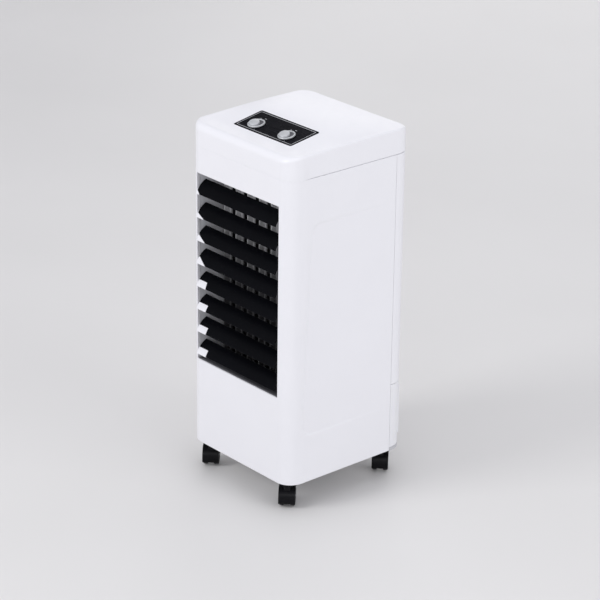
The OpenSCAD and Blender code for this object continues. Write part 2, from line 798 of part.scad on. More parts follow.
// Hooded fork with a central web, a collar and the swivel stem
module caster_hood(x, y) color([0.05, 0.05, 0.06]) {
  web = wheel_gap - 0.4;
  cavity_r = caster_r + 0.7;
  on_caster(x, y) difference() {
    union() {
      difference() {
        rod_x(-hood_half, hood_half, caster_trail, caster_r, hood_r);
        rod_x(web, hood_half + 1, caster_trail, caster_r, cavity_r);
        rod_x(-hood_half - 1, -web, caster_trail, caster_r, cavity_r);
        translate([0, caster_trail, caster_r]) rotate([32, 0, 0]) box(-30, 30, -40, 40, -50, 2);
      }
      rod_x(-web, web, caster_trail, caster_r, 8);
      box(-web, web, -6, 9, caster_r, 36.6);
      translate([0, 0, 36]) cylinder(r = 7.5, h = skirt_z - 0.6 - 36);
      translate([0, 0, 38]) cylinder(r = stem_r, h = 28);
    }
    rod_x(-20, 20, caster_trail, caster_r, axle_r);
  }
}

module caster_wheels(x, y) color([0.08, 0.08, 0.09]) {
  shoulder = 1.6;
  rim = caster_r - shoulder;
  on_caster(x, y) for (side = [-1, 1])
    translate([side * (wheel_gap + wheel_w / 2), caster_trail, caster_r])
      rotate([0, 90, 0]) rotate_extrude() polygon(concat(
        [[axle_r + running, -wheel_w / 2]],
        arc_points([rim, -wheel_w / 2 + shoulder], shoulder, -90, 0, 4),
        arc_points([rim, wheel_w / 2 - shoulder], shoulder, 0, 90, 4),
        [[axle_r + running, wheel_w / 2]]
      ));
}

module caster_axle(x, y) color("silver") {
  on_caster(x, y) rod_x(-hood_half + 0.5, hood_half - 0.5, caster_trail, caster_r, axle_r);
}

front_shell();
rear_shell();
top_cap();
base_pan();
inner_deck();
outlet_duct();
blower_housing();
blower_wheel();
blower_shaft();
lower_bearing();
fan_motor();
motor_bracket();
terminal_box();
cord_gland();
case_screws();
control_plate();
panel_print();
rotary_switches();
speed_knob();
mode_knob();
louvre_blade(1);  // louvre_blade_1
louvre_blade(2);  // louvre_blade_2
louvre_blade(3);  // louvre_blade_3
louvre_blade(4);  // louvre_blade_4
louvre_blade(5);  // louvre_blade_5
louvre_blade(6);  // louvre_blade_6
louvre_blade(7);  // louvre_blade_7
louvre_blade(8);  // louvre_blade_8
louvre_link();
swing_vane(1);  // swing_vane_1
swing_vane(2);  // swing_vane_2
swing_vane(3);  // swing_vane_3
swing_vane(4);  // swing_vane_4
swing_vane(5);  // swing_vane_5
swing_vane(6);  // swing_vane_6
vane_link();
swing_motor();
swing_crank();
water_tank();
level_window();
drain_plug();
water_pump();
pump_hose();
water_distributor();
cooling_pad();
pad_frame();
rear_grille();
caster_sockets();
caster_hood(-1, 0);  // caster_hood_fl
caster_hood(1, 0);  // caster_hood_fr
caster_hood(-1, 1);  // caster_hood_rl
caster_hood(1, 1);  // caster_hood_rr
caster_wheels(-1, 0);  // caster_wheels_fl
caster_wheels(1, 0);  // caster_wheels_fr
caster_wheels(-1, 1);  // caster_wheels_rl
caster_wheels(1, 1);  // caster_wheels_rr
caster_axle(-1, 0);  // caster_axle_fl
caster_axle(1, 0);  // caster_axle_fr
caster_axle(-1, 1);  // caster_axle_rl
caster_axle(1, 1);  // caster_axle_rr
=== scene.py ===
import json
import math

import bmesh
import bpy
import numpy as np
from mathutils import Matrix, Vector


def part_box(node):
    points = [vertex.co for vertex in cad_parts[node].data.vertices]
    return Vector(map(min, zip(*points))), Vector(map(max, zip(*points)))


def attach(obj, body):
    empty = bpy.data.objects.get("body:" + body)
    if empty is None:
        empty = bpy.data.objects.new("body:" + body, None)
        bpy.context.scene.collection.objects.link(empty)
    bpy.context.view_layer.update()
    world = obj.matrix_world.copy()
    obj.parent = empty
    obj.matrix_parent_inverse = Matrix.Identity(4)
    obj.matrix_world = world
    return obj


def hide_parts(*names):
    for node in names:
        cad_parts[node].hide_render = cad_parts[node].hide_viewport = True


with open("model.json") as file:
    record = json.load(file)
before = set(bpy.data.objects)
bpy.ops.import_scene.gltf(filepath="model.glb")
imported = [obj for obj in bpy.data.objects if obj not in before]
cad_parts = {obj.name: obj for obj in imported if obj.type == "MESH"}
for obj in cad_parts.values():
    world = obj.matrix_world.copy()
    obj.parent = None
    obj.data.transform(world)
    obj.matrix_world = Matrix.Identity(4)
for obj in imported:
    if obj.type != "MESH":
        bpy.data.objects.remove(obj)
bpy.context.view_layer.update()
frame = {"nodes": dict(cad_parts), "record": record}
MM = 0.001

# The cabinet's own measures in millimetres: its width and depth, and the joint under the cap
CAP_LO, CAP_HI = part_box("top_cap")
HALF_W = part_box("front_shell")[1].x / MM
FRONT_Y = CAP_LO.y / MM
REAR_Y = CAP_HI.y / MM
SEAM_Z = 596
CORNER_R = 30

# Where the painted shade of the swing vanes starts and ends, in metres: towards the foot and at the
# rear edge
VANE_FULL_SHADE_Z, VANE_NO_SHADE_Z = 0.34, 0.54
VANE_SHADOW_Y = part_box("swing_vane_1")[1].y - 0.0065


# ---------------------------------------------------------------- materials

def shader(name, rough, metallic=0.0, specular=0.5):
    """A material with a Principled shader whose even values are set on its sockets."""
    mat = bpy.data.materials.new(name)
    mat.use_nodes = True
    bsdf = mat.node_tree.nodes["Principled BSDF"]
    bsdf.inputs["Roughness"].default_value = rough
    bsdf.inputs["Metallic"].default_value = metallic
    bsdf.inputs["Specular IOR Level"].default_value = specular
    return mat, bsdf


def add_node(mat, kind, **values):
    """A node whose inputs are set by name."""
    node = mat.node_tree.nodes.new(kind)
    for key, value in values.items():
        node.inputs[key.replace("_", " ")].default_value = value
    return node


def link(mat, a, b):
    """Joins an output to an input."""
    mat.node_tree.links.new(a, b)


def object_noise(mat, scale, detail=3.0, stretch=(1, 1, 1)):
    """Noise in the object's own metres. stretch squeezes it along an axis, as brushing does."""
    coords = add_node(mat, "ShaderNodeTexCoord")
    mapping = add_node(mat, "ShaderNodeMapping", Scale=stretch)
    noise = add_node(mat, "ShaderNodeTexNoise", Scale=scale, Detail=detail)
    link(mat, coords.outputs["Object"], mapping.inputs["Vector"])
    link(mat, mapping.outputs["Vector"], noise.inputs["Vector"])
    return noise.outputs["Fac"]


def mapped(mat, value, low, high, from_low=0.3, from_high=0.7):
    """A value moved from one range to another."""
    node = mat.node_tree.nodes.new("ShaderNodeMapRange")
    node.inputs["From Min"].default_value = from_low
    node.inputs["From Max"].default_value = from_high
    node.inputs["To Min"].default_value = low
    node.inputs["To Max"].default_value = high
    link(mat, value, node.inputs["Value"])
    return node.outputs["Result"]


def mixed(mat, factor, a, b):
    """A colour between two colours."""
    node = mat.node_tree.nodes.new("ShaderNodeMix")
    node.data_type = "RGBA"
    link(mat, factor, node.inputs["Factor"])
    for socket, colour in ((node.inputs[6], a), (node.inputs[7], b)):
        if isinstance(colour, tuple):
            socket.default_value = (*colour[:3], 1)
        else:
            link(mat, colour, socket)
    return node.outputs[2]


def bumped(mat, bsdf, height, strength, distance):
    """Fine relief from a height."""
    node = add_node(mat, "ShaderNodeBump", Strength=strength, Distance=distance)
    link(mat, height, node.inputs["Height"])
    link(mat, node.outputs["Normal"], bsdf.inputs["Normal"])
    return node


def edge_mask(mat, radius, low, high):
    """1 on outer edges, paled as wear and as a painted highlight, and 0 on flat faces, from how far
    a rounded normal turns away.
    """
    bevel = add_node(mat, "ShaderNodeBevel", Radius=radius)
    bevel.samples = 4
    geometry = add_node(mat, "ShaderNodeNewGeometry")
    dot = mat.node_tree.nodes.new("ShaderNodeVectorMath")
    dot.operation = "DOT_PRODUCT"
    link(mat, bevel.outputs["Normal"], dot.inputs[0])
    link(mat, geometry.outputs["True Normal"], dot.inputs[1])
    return mapped(mat, dot.outputs["Value"], 1.0, 0.0, low, high)


def moulded(name, colour, rough, mottle=0.02, grain=1400, depth=0.00002, wear_and_highlight=0.0,
            specular=0.5, soft_edge=0.0):
    """Moulded plastic: faint mottling, a spark-eroded grain, and edges rounded or made paler,
    partly as rubbed wear and partly as a painted highlight.
    """
    mat, bsdf = shader(name, rough, specular=specular)
    cloud = object_noise(mat, 9, 4)
    dark = tuple(c * (1 - mottle) for c in colour)
    pale = tuple(min(1, c * (1 + mottle)) for c in colour)
    base = mixed(mat, mapped(mat, cloud, 0, 1), dark, pale)
    # paler edges: partly rubbed wear, partly a painted edge highlight
    if wear_and_highlight:
        rubbed_and_highlit = tuple(c + (1 - c) * wear_and_highlight for c in colour)
        base = mixed(mat, edge_mask(mat, 0.0009, 0.90, 0.995), base, rubbed_and_highlit)
    link(mat, base, bsdf.inputs["Base Color"])
    patches = object_noise(mat, 70, 5)
    link(mat, mapped(mat, patches, rough * 0.86, min(1, rough * 1.14)), bsdf.inputs["Roughness"])
    bump = bumped(mat, bsdf, object_noise(mat, grain, 2), 0.35, depth)
    if soft_edge:
        bevel = add_node(mat, "ShaderNodeBevel", Radius=soft_edge)
        bevel.samples = 6
        link(mat, bevel.outputs["Normal"], bump.inputs["Normal"])
    return mat


def vane_plastic():
    """The swing vanes: pale in front and at the top, with painted shade darkening them towards the
    foot and a painted shadow along the rear edge.
    """
    mat, bsdf = shader("pp_vane_grey", 0.45)
    place = add_node(mat, "ShaderNodeSeparateXYZ")
    link(mat, add_node(mat, "ShaderNodeTexCoord").outputs["Object"], place.inputs["Vector"])
    # painted shade: the vanes go dark towards their foot, where the interior behind the blades lies
    # in shade
    height = mapped(mat, place.outputs["Z"], 0, 1, VANE_FULL_SHADE_Z, VANE_NO_SHADE_Z)
    pale = mixed(mat, object_noise(mat, 9, 4), (0.84, 0.84, 0.86), (0.90, 0.90, 0.92))
    shade = mixed(mat, height, (0.05, 0.05, 0.055), pale)
    # painted shadow: a dark band along each vane's rear edge, for the shaded gap between one vane
    # and the next
    rear = mapped(mat, place.outputs["Y"], 0, 1, VANE_SHADOW_Y, VANE_SHADOW_Y + 0.0015)
    link(mat, mixed(mat, rear, shade, (0.006, 0.006, 0.007)), bsdf.inputs["Base Color"])
    link(mat, mapped(mat, object_noise(mat, 70, 5), 0.39, 0.51), bsdf.inputs["Roughness"])
    bumped(mat, bsdf, object_noise(mat, 1400, 2), 0.35, 0.00002)
    return mat


def metal(name, colour, rough, stretch=(1, 1, 1), scale=260, tarnish=0.25, metallic=1.0):
    """Bare metal: a drawn or rolled grain, with duller patches."""
    mat, bsdf = shader(name, rough, metallic=metallic)
    grain = object_noise(mat, scale, 6, stretch)
    dark = tuple(c * (1 - tarnish) for c in colour)
    link(mat, mixed(mat, mapped(mat, grain, 0, 1), dark, colour), bsdf.inputs["Base Color"])
    cloud = object_noise(mat, 45, 4)
    link(mat, mapped(mat, cloud, rough * 0.7, min(1, rough * 1.4)), bsdf.inputs["Roughness"])
    bumped(mat, bsdf, grain, 0.3, 0.00003)
    return mat


def gloss_black():
    """Back-printed acrylic of the control plate, with faint wipe marks in its gloss."""
    mat, bsdf = shader("acrylic_black", 0.2, specular=0.015)
    cloud = object_noise(mat, 30, 5, (1, 4, 1))
    dark, pale = (0.0038, 0.0038, 0.0056), (0.006, 0.006, 0.0085)
    link(mat, mixed(mat, mapped(mat, cloud, 0, 1), dark, pale), bsdf.inputs["Base Color"])
    link(mat, mapped(mat, cloud, 0.16, 0.30), bsdf.inputs["Roughness"])
    bumped(mat, bsdf, object_noise(mat, 400, 3), 0.08, 0.00002)
    return mat


def clear_window():
    """Clear acrylic of the level window, a little milky."""
    mat, bsdf = shader("acrylic_clear", 0.08)
    bsdf.inputs["Transmission Weight"].default_value = 0.85
    bsdf.inputs["IOR"].default_value = 1.49
    cloud = object_noise(mat, 120, 4)
    link(mat, mixed(mat, mapped(mat, cloud, 0, 1), (0.72, 0.82, 0.86), (0.82, 0.90, 0.93)),
         bsdf.inputs["Base Color"])
    bumped(mat, bsdf, cloud, 0.1, 0.0001)
    return mat


def wet_paper():
    """Brown cellulose paper of the wet pad: fibres, pale crests and dark damp hollows."""
    mat, bsdf = shader("pad_paper", 0.92, specular=0.2)
    fibres = object_noise(mat, 900, 6, (1, 1, 0.25))
    damp = object_noise(mat, 22, 4)
    dry = mixed(mat, mapped(mat, fibres, 0, 1), (0.27, 0.155, 0.065), (0.46, 0.30, 0.15))
    wet = mixed(mat, mapped(mat, fibres, 0, 1), (0.17, 0.095, 0.04), (0.30, 0.18, 0.085))
    link(mat, mixed(mat, mapped(mat, damp, 0, 1, 0.42, 0.62), dry, wet), bsdf.inputs["Base Color"])
    link(mat, mapped(mat, damp, 0.95, 0.62), bsdf.inputs["Roughness"])
    bumped(mat, bsdf, fibres, 0.6, 0.0002)
    return mat


def milky_tank():
    """Polypropylene of the tank: white and slightly see-through, with a satin grain."""
    mat, bsdf = shader("tank_milky", 0.38)
    bsdf.inputs["Subsurface Weight"].default_value = 0.18
    bsdf.inputs["Subsurface Radius"].default_value = (0.006, 0.006, 0.007)
    cloud = object_noise(mat, 11, 4)
    link(mat, mixed(mat, mapped(mat, cloud, 0, 1), (0.775, 0.775, 0.80), (0.80, 0.80, 0.825)),
         bsdf.inputs["Base Color"])
    link(mat, mapped(mat, object_noise(mat, 60, 4), 0.32, 0.46), bsdf.inputs["Roughness"])
    bumped(mat, bsdf, object_noise(mat, 1300, 2), 0.3, 0.00002)
    return mat


WHITE = (0.800, 0.797, 0.826)
MATS = {
    "white_shell": moulded("abs_white", WHITE, 0.42, mottle=0.008, grain=1500, depth=0.000012,
                           soft_edge=0.0009),
    "cap_white": moulded("abs_white_cap", WHITE, 0.36, mottle=0.008, grain=1500, depth=0.00001),
    "pan_grey": moulded("pp_light_grey", (0.50, 0.50, 0.52), 0.55, mottle=0.05),
    "duct_grey": moulded("pp_duct_grey", (0.76, 0.76, 0.79), 0.50, mottle=0.04, soft_edge=0.0006),
    "louvre_black": moulded("abs_black", (0.0022, 0.0024, 0.0036), 0.46, mottle=0.2, wear_and_highlight=0.02,
                            specular=0.03),
    "vane_grey": vane_plastic(),
    "link_black": moulded("pp_black", (0.006, 0.006, 0.008), 0.5, mottle=0.2, wear_and_highlight=0.03,
                          specular=0.1),
    "housing_dark": moulded("pp_housing_dark", (0.012, 0.012, 0.014), 0.6, mottle=0.2,
                            specular=0.2),
    "wheel_grey": moulded("pp_wheel_grey", (0.05, 0.05, 0.055), 0.5, mottle=0.1, wear_and_highlight=0.1),
    "panel_black": gloss_black(),
    "print_silver": metal("print_silver", (0.62, 0.63, 0.65), 0.35, scale=500, tarnish=0.15,
                          metallic=0.6),
    "knob_silver": metal("knob_silver", (0.55, 0.56, 0.575), 0.42, scale=900, tarnish=0.08,
                         metallic=0.35),
    "switch_grey": moulded("pbt_grey", (0.08, 0.08, 0.09), 0.6, mottle=0.1, wear_and_highlight=0.1),
    "steel": metal("steel_zinc", (0.62, 0.62, 0.63), 0.32, stretch=(1, 1, 0.15)),
    "motor_metal": metal("motor_enamel", (0.48, 0.49, 0.51), 0.42, tarnish=0.12, metallic=0.5),
    "bronze": metal("sintered_bronze", (0.62, 0.40, 0.17), 0.45, scale=700),
    "box_ivory": moulded("pc_ivory", (0.70, 0.66, 0.55), 0.5, mottle=0.04),
    "gland_black": moulded("nylon_black", (0.018, 0.018, 0.02), 0.55, mottle=0.2, wear_and_highlight=0.12),
    "tank_white": milky_tank(),
    "window_clear": clear_window(),
    "plug_rubber": moulded("epdm_black", (0.03, 0.03, 0.032), 0.8, mottle=0.25, depth=0.00006),
    "pump_black": moulded("pump_black", (0.02, 0.02, 0.024), 0.5, mottle=0.2, wear_and_highlight=0.15),
    "hose_clear": moulded("silicone_milky", (0.55, 0.57, 0.58), 0.3, mottle=0.05),
    "pad_paper": wet_paper(),
    "caster_black": moulded("caster_black", (0.004, 0.004, 0.005), 0.30, mottle=0.2, wear_and_highlight=0.03,
                            specular=0.12),
    "caster_tread": moulded("caster_tread", (0.010, 0.010, 0.012), 0.6, mottle=0.2, wear_and_highlight=0.04,
                            depth=0.00006, specular=0.2),
}


# ---------------------------------------------------------------- mesh helpers

# The faces of a block whose eight corners go round its foot and then round its top
BOX_FACES = [(3, 2, 1, 0), (4, 5, 6, 7), (0, 1, 5, 4), (1, 2, 6, 5), (2, 3, 7, 6), (3, 0, 4, 7)]
QUARTER_X = Matrix.Rotation(math.radians(90), 4, "X")


def linked(name, data):
    """A new object in the scene."""
    obj = bpy.data.objects.new(name, data)
    bpy.context.scene.collection.objects.link(obj)
    return obj


def mesh_of(name, verts, faces):
    """A mesh from points in millimetres, with its faces turned outwards."""
    mesh = bpy.data.meshes.new(name)
    mesh.from_pydata([Vector(v) * MM for v in verts], [], faces)
    bm = bmesh.new()
    bm.from_mesh(mesh)
    bmesh.ops.recalc_face_normals(bm, faces=bm.faces)
    bm.to_mesh(mesh)
    bm.free()
    return mesh


def mesh_piece(name, verts, faces, slot, body, smooth=40):
    """A piece from points in millimetres, with its material, riding on a body."""
    mesh = mesh_of(name, verts, faces)
    mesh.validate()
    obj = linked(name, mesh)
    smooth_by_angle(obj, smooth)
    given(obj, slot, body)
    return obj


def given(obj, slot, body):
    """Gives an object a slot's material and a body to ride on."""
    obj.data.materials.append(MATS[slot])
    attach(obj, body)


def smooth_by_angle(obj, degrees):
    """Smooth faces with edges sharper than the angle kept crisp."""
    mesh = obj.data
    mesh.polygons.foreach_set("use_smooth", [True] * len(mesh.polygons))
    mesh.set_sharp_from_angle(angle=math.radians(degrees))


def grid_faces(rings, count, closed=True):
    """Quads between rings of the same number of points."""
    last = count if closed else count - 1
    return [(r * count + i, r * count + (i + 1) % count,
             (r + 1) * count + (i + 1) % count, (r + 1) * count + i)
            for r in range(rings - 1) for i in range(last)]


def shifted(faces, base):
    """Faces whose points start later in the list."""
    return [tuple(base + v for v in f) for f in faces]


def capped_faces(rings, count):
    """Rings of points with a flat face at both ends."""
    return (grid_faces(rings, count)
            + [tuple(range(count - 1, -1, -1)), tuple(range((rings - 1) * count, rings * count))])


def slab_faces(rows, columns, base=0):
    """A slab between two equal grids of points, the second grid after the first."""
    row = columns + 1
    layer = row * (rows + 1)
    faces = []
    for r in range(rows):
        for c in range(columns):
            a = base + r * row + c
            b = a + layer
            faces += [(a, a + 1, a + row + 1, a + row), (b, b + row, b + row + 1, b + 1)]
        for c in (0, columns):
            a = base + r * row + c
            faces.append((a, a + row, a + layer + row, a + layer))
    for c in range(columns):
        for a in (base + c, base + rows * row + c):
            faces.append((a, a + 1, a + layer + 1, a + layer))
    return faces


def combined(obj, other, operation):
    """Joins another object to a mesh or cuts it out, and removes it."""
    mod = obj.modifiers.new("boolean", "BOOLEAN")
    mod.operation = operation
    mod.solver = "EXACT"
    mod.object = other
    graph = bpy.context.evaluated_depsgraph_get()
    mesh = bpy.data.meshes.new_from_object(obj.evaluated_get(graph))
    obj.modifiers.clear()
    obj.data = mesh
    bpy.data.objects.remove(other)


def cut(obj, *cutters):
    """Cuts other objects out of a mesh and removes them."""
    for cutter in cutters:
        combined(obj, cutter, "DIFFERENCE")


def turned(profile, steps, place):
    """Rings of points: a profile of (radius, height) turned round an axis, placed by a matrix."""
    angles = [2 * math.pi * k / steps for k in range(steps)]
    return [place @ Vector((r * math.cos(a), r * math.sin(a), h))
            for r, h in profile for a in angles]


def revolve(profile, steps, place):
    """A turned solid with closed ends."""
    return turned(profile, steps, place), capped_faces(len(profile), steps)


def arc(cx, cy, r, a0, a1, n):
    """Points along an arc, angles in degrees."""
    return [(cx + r * math.cos(math.radians(a0 + (a1 - a0) * k / n)),
             cy + r * math.sin(math.radians(a0 + (a1 - a0) * k / n))) for k in range(n + 1)]


def soften(node, width, segments=2):
    """Rounds a CAD node's sharp edges with modifiers and gives it even shading."""
    obj = frame["nodes"][node]
    weld = obj.modifiers.new("weld", "WELD")
    weld.merge_threshold = 0.00001
    bevel = obj.modifiers.new("bevel", "BEVEL")
    bevel.width = width * MM
    bevel.segments = segments
    bevel.limit_method = "ANGLE"
    bevel.angle_limit = math.radians(32)
    bevel.use_clamp_overlap = True
    bevel.harden_normals = False
    normals = obj.modifiers.new("normals", "WEIGHTED_NORMAL")
    normals.keep_sharp = True
    normals.weight = 60


# ---------------------------------------------------------------- CAD nodes

for entry in frame["record"]["subparts"]:
    node = frame["nodes"][entry["node"]]
    node.data.materials.clear()
    node.data.materials.append(MATS[entry["material_slot"]])


# ---------------------------------------------------------------- outlines

def prism(name, outline, z0, z1, matrix=Matrix.Identity(4)):
    """An upright block over an outline, in millimetres, as a loose object."""
    verts = [matrix @ Vector((x, y, z)) for z in (z0, z1) for x, y in outline]
    return linked(name, mesh_of(name, verts, capped_faces(2, len(outline))))


def rounded_outline(x0, x1, y0, y1, r, steps=6):
    """A rectangle with round corners, anticlockwise."""
    corners = ((x1 - r, y1 - r, 0), (x0 + r, y1 - r, 90),
               (x0 + r, y0 + r, 180), (x1 - r, y0 + r, 270))
    return [p for cx, cy, a in corners for p in arc(cx, cy, r, a, a + 90, steps)]


def rod_along_y(y0, y1, x, z, r, steps=32):
    """A round rod from front to rear, for cutting with."""
    circle = arc(0, 0, r, 0, 360 - 360 / steps, steps - 1)
    return prism("cutter", circle, -y1, -y0, Matrix.Translation((x, 0, z)) @ QUARTER_X)


# ---------------------------------------------------------------- top cap

MID_Y = (FRONT_Y + REAR_Y) / 2
RIM_FRONT, RIM_REAR, RIM_RISE = 635.8, 639.4, 1.0
FRONT_EDGE_Z, CROWN_END_Z = 635.5, 638.2
SLOPE_START, CROWN_START, CROWN_END = -84, -25, 124
DECK_Y, DECK_Z, TILT = -52, 639, 10
FRONT_FILLET, REAR_FILLET, SIDE_FILLET = 13, 11, 3.5
ON_DECK = Matrix.Translation((0, DECK_Y, DECK_Z)) @ Matrix.Rotation(math.radians(TILT), 4, "X")
PLATE_W, PLATE_D = 147, 63
KNOB_X, KNOB_V = 38.5, -10
CAP_WALL, CAP_ROOF, CAP_SMOOTH = 3.0, 6.5, 38
CREST_STEPS, ROOF_STEPS = 24, 12
SCREW_X, SCREW_Z = 50, 587


def cubic(y, y0, z0, m0, y1, z1, m1):
    """A curve from one height and slope to another."""
    span = y1 - y0
    t = (y - y0) / span
    return (z0 * (2 * t ** 3 - 3 * t ** 2 + 1) + m0 * span * (t ** 3 - 2 * t ** 2 + t)
            + z1 * (3 * t ** 2 - 2 * t ** 3) + m1 * span * (t ** 3 - t ** 2))


def slope_z(y):
    """The height of the control deck's straight slope."""
    return DECK_Z + (y - DECK_Y) * math.tan(math.radians(TILT))


def centre_z(y):
    """The deck's middle line: a shallow dip, a straight slope and a crown down to the rear."""
    slope = math.tan(math.radians(TILT))
    if y < SLOPE_START:
        return cubic(y, FRONT_Y, FRONT_EDGE_Z, -0.05, SLOPE_START, slope_z(SLOPE_START), slope)
    if y < CROWN_START:
        return slope_z(y)
    return cubic(y, CROWN_START, slope_z(CROWN_START), slope, CROWN_END, CROWN_END_Z, -0.08)


def deck_height(x, y):
    """The cap's top surface: level rims at the sides, blended into the middle line."""
    t = (y - FRONT_Y) / (REAR_Y - FRONT_Y)
    rim = RIM_FRONT + (RIM_REAR - RIM_FRONT) * t + RIM_RISE * 4 * t * (1 - t)
    return rim + (centre_z(y) - rim) * (1 - (abs(x) / HALF_W) ** 4)


def plan_stations(corner_steps, edge_steps):
    """Points round the cabinet's plan, each with its outward normal's angle."""
    x, rear, front = HALF_W - CORNER_R, REAR_Y - CORNER_R, FRONT_Y + CORNER_R
    corners = ((x, rear), (-x, rear), (-x, front), (x, front))
    out = []
    for k, (cx, cy) in enumerate(corners):
        turn = arc(cx, cy, CORNER_R, 90 * k, 90 * k + 90, corner_steps)
        out += [(px, py, 90 * k + 90 * i / corner_steps) for i, (px, py) in enumerate(turn)]
        ax, ay = turn[-1]
        bx, by = arc(*corners[(k + 1) % 4], CORNER_R, 90 * k + 90, 90 * k + 91, 1)[0]
        out += [(ax + (bx - ax) * i / edge_steps, ay + (by - ay) * i / edge_steps, 90 * k + 90)
                for i in range(1, edge_steps)]
    return out


def inset(station, by):
    """A point of the plan moved inwards."""
    x, y, a = station
    return x - math.cos(math.radians(a)) * by, y - math.sin(math.radians(a)) * by


def fillet_at(a):
    """The radius of the cap's top edge, for an outward normal at this angle."""
    up = math.sin(math.radians(a))
    return (SIDE_FILLET + (FRONT_FILLET - SIDE_FILLET) * max(0, -up) ** 2
            + (REAR_FILLET - SIDE_FILLET) * max(0, up) ** 2)


def side_part(y):
    """0 in front, where the cap's joint is tight, and 1 along the sides and the rear."""
    t = min(1, max(0, (y + 103) / 8))
    return t * t * (3 - 2 * t)


def cap_shell():
    """The cap as one smooth shell, with a shadow gap over the sides and a tight joint in front."""
    stations = plan_stations(18, 16)
    n = len(stations)
    rings = []

    def ring(z_front, z_side, depth_front, depth_side):
        row = []
        for s in stations:
            t = side_part(s[1])
            x, y = inset(s, depth_front + (depth_side - depth_front) * t)
            row.append((x, y, z_front + (z_side - z_front) * t))
        rings.append(row)

    foot = SEAM_Z - 0.55
    ring(foot, SEAM_Z, CAP_WALL, CAP_WALL)
    ring(foot, SEAM_Z, 0.04, 0.7)
    ring(foot + 0.02, SEAM_Z + 0.45, 0.01, 0.7)
    ring(foot + 0.06, SEAM_Z + 0.6, 0.0, 0.55)
    ring(foot + 0.12, SEAM_Z + 0.63, 0.0, 0.2)
    ring(foot + 0.20, SEAM_Z + 0.8, 0.0, 0.0)
    steps = 12
    for k in range(steps + 1):
        t = math.radians(90 * k / steps)
        row = []
        for s in stations:
            f = fillet_at(s[2])
            tx, ty = inset(s, f)
            x, y = inset(s, f * (1 - math.cos(t)))
            row.append((x, y, deck_height(tx, ty) - f * (1 - math.sin(t))))
        rings.append(row)
    top = rings[-1]
    for k in range(1, CREST_STEPS):
        scale = 1 - k / CREST_STEPS
        row = [(x * scale, MID_Y + (y - MID_Y) * scale) for x, y, _ in top]
        rings.append([(x, y, deck_height(x, y)) for x, y in row])
    # the inside: an upright wall and a roof under the deck
    inner = [[(*inset(s, CAP_WALL), 618) for s in stations]]
    for k in range(ROOF_STEPS):
        scale = 1 - k / ROOF_STEPS
        row = []
        for s in stations:
            x, y = inset(s, 8.0 if k == 0 else 10.0)
            x, y = x * scale, MID_Y + (y - MID_Y) * scale
            row.append((x, y, deck_height(x, y) - (9.0 if k == 0 else CAP_ROOF)))
        inner.append(row)
    verts = [p for row in rings for p in row]
    faces = grid_faces(len(rings), n)
    last = (len(rings) - 1) * n
    verts.append((0, MID_Y, deck_height(0, MID_Y)))
    faces += [(last + i, last + (i + 1) % n, len(verts) - 1) for i in range(n)]
    base = len(verts)
    verts += [p for row in inner for p in row]
    faces += [(i, (i + 1) % n, base + (i + 1) % n, base + i) for i in range(n)]
    faces += shifted(grid_faces(len(inner), n), base)
    last = base + (len(inner) - 1) * n
    verts.append((0, MID_Y, deck_height(0, MID_Y) - CAP_ROOF))
    faces += [(last + i, last + (i + 1) % n, len(verts) - 1) for i in range(n)]
    cap = mesh_piece("cap_shell", verts, faces, "cap_white", "cabinet", CAP_SMOOTH)
    tab = prism("cutter", rounded_outline(-60, 60, 128.0, 131.1, 0.8), 582, 612)
    combined(cap, tab, "UNION")
    holes = [rod_along_y(120, 132.4, x, SCREW_Z, 1.6) for x in (-SCREW_X, SCREW_X)]
    half_w, half_d = PLATE_W / 2 + 0.25, PLATE_D / 2 + 0.25
    pocket = prism("cutter", rounded_outline(-half_w, half_w, -half_d, half_d, 3.2),
                   -3.25, 20, ON_DECK)
    room = prism("cutter", rounded_outline(-62, 62, -26, 20, 3), -40, 1, ON_DECK)
    cut(cap, pocket, room, *holes)
    smooth_by_angle(cap, CAP_SMOOTH)
    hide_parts("top_cap")


cap_shell()


# ---------------------------------------------------------------- knobs

GRIP_SIDE = 49
KNOB_STEPS = 96


